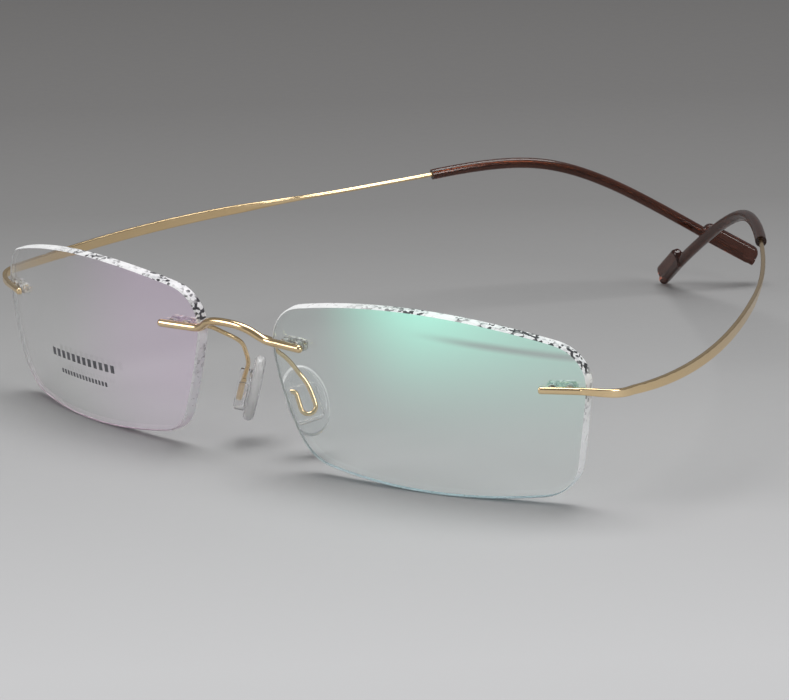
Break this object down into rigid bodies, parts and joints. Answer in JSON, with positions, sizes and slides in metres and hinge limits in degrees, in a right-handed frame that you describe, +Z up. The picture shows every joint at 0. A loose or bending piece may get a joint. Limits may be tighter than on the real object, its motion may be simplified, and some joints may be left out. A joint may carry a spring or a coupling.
{
  "type": "rimless eyeglasses",
  "caption": "Rimless eyeglasses with rectangular clear lenses, a wire bridge, clear nose pads and springy hingeless temples ending in soft tips.",
  "frame": {"origin": "on the table under the middle of the whole object, with the lenses toward -Y", "axes": "+Z up from the table, +X toward the wearer's left, +Y back along the temples, the longest extent"},
  "size_m": [0.1267, 0.1398, 0.0278],
  "materials": {
    "lens": "polished clear, anti-reflection coated",
    "titanium": "polished pale gold plating",
    "clear_sleeve": "clear moulded plastic",
    "silicone": "clear soft silicone",
    "tip_rubber": "dark brown translucent"
  },
  "bodies": {
    "front": {"left_lens": "lens", "right_lens": "lens", "bridge": "titanium", "nasal_pins": "titanium", "temporal_pins": "titanium", "left_nasal_sleeve": "clear_sleeve", "right_nasal_sleeve": "clear_sleeve", "left_temporal_sleeve": "clear_sleeve", "right_temporal_sleeve": "clear_sleeve", "left_pad_arm": "titanium", "right_pad_arm": "titanium", "left_endpiece": "titanium", "right_endpiece": "titanium"},
    "left_temple_arm": {"left_temple": "titanium", "left_temple_tip": "tip_rubber"},
    "right_temple_arm": {"right_temple": "titanium", "right_temple_tip": "tip_rubber"},
    "left_pad": {"left_nose_pad": "silicone"},
    "right_pad": {"right_nose_pad": "silicone"}
  },
  "joints": [
    {"name": "left_temple_flex", "type": "hinge", "parent": "front", "child": "left_temple_arm", "pos_m": [0.0623, -0.0529, 0.0174], "axis": [0, 0, -1], "range_deg": [-8, 25], "stiffness_Nm_per_rad": 0.5},
    {"name": "right_temple_flex", "type": "hinge", "parent": "front", "child": "right_temple_arm", "pos_m": [-0.0623, -0.0529, 0.0186], "axis": [0, 0, 1], "range_deg": [-2, 25], "stiffness_Nm_per_rad": 0.5},
    {"name": "left_pad_rock", "type": "hinge", "parent": "front", "child": "left_pad", "pos_m": [0.00689, -0.05963, 0.00883], "axis": [0.6058, 0.7602, 0.2347], "range_deg": [-4, 4], "stiffness_Nm_per_rad": 0.003},
    {"name": "right_pad_rock", "type": "hinge", "parent": "front", "child": "right_pad", "pos_m": [-0.00689, -0.05963, 0.00883], "axis": [0.6058, -0.7602, -0.2347], "range_deg": [-4, 4], "stiffness_Nm_per_rad": 0.003}
  ]
}
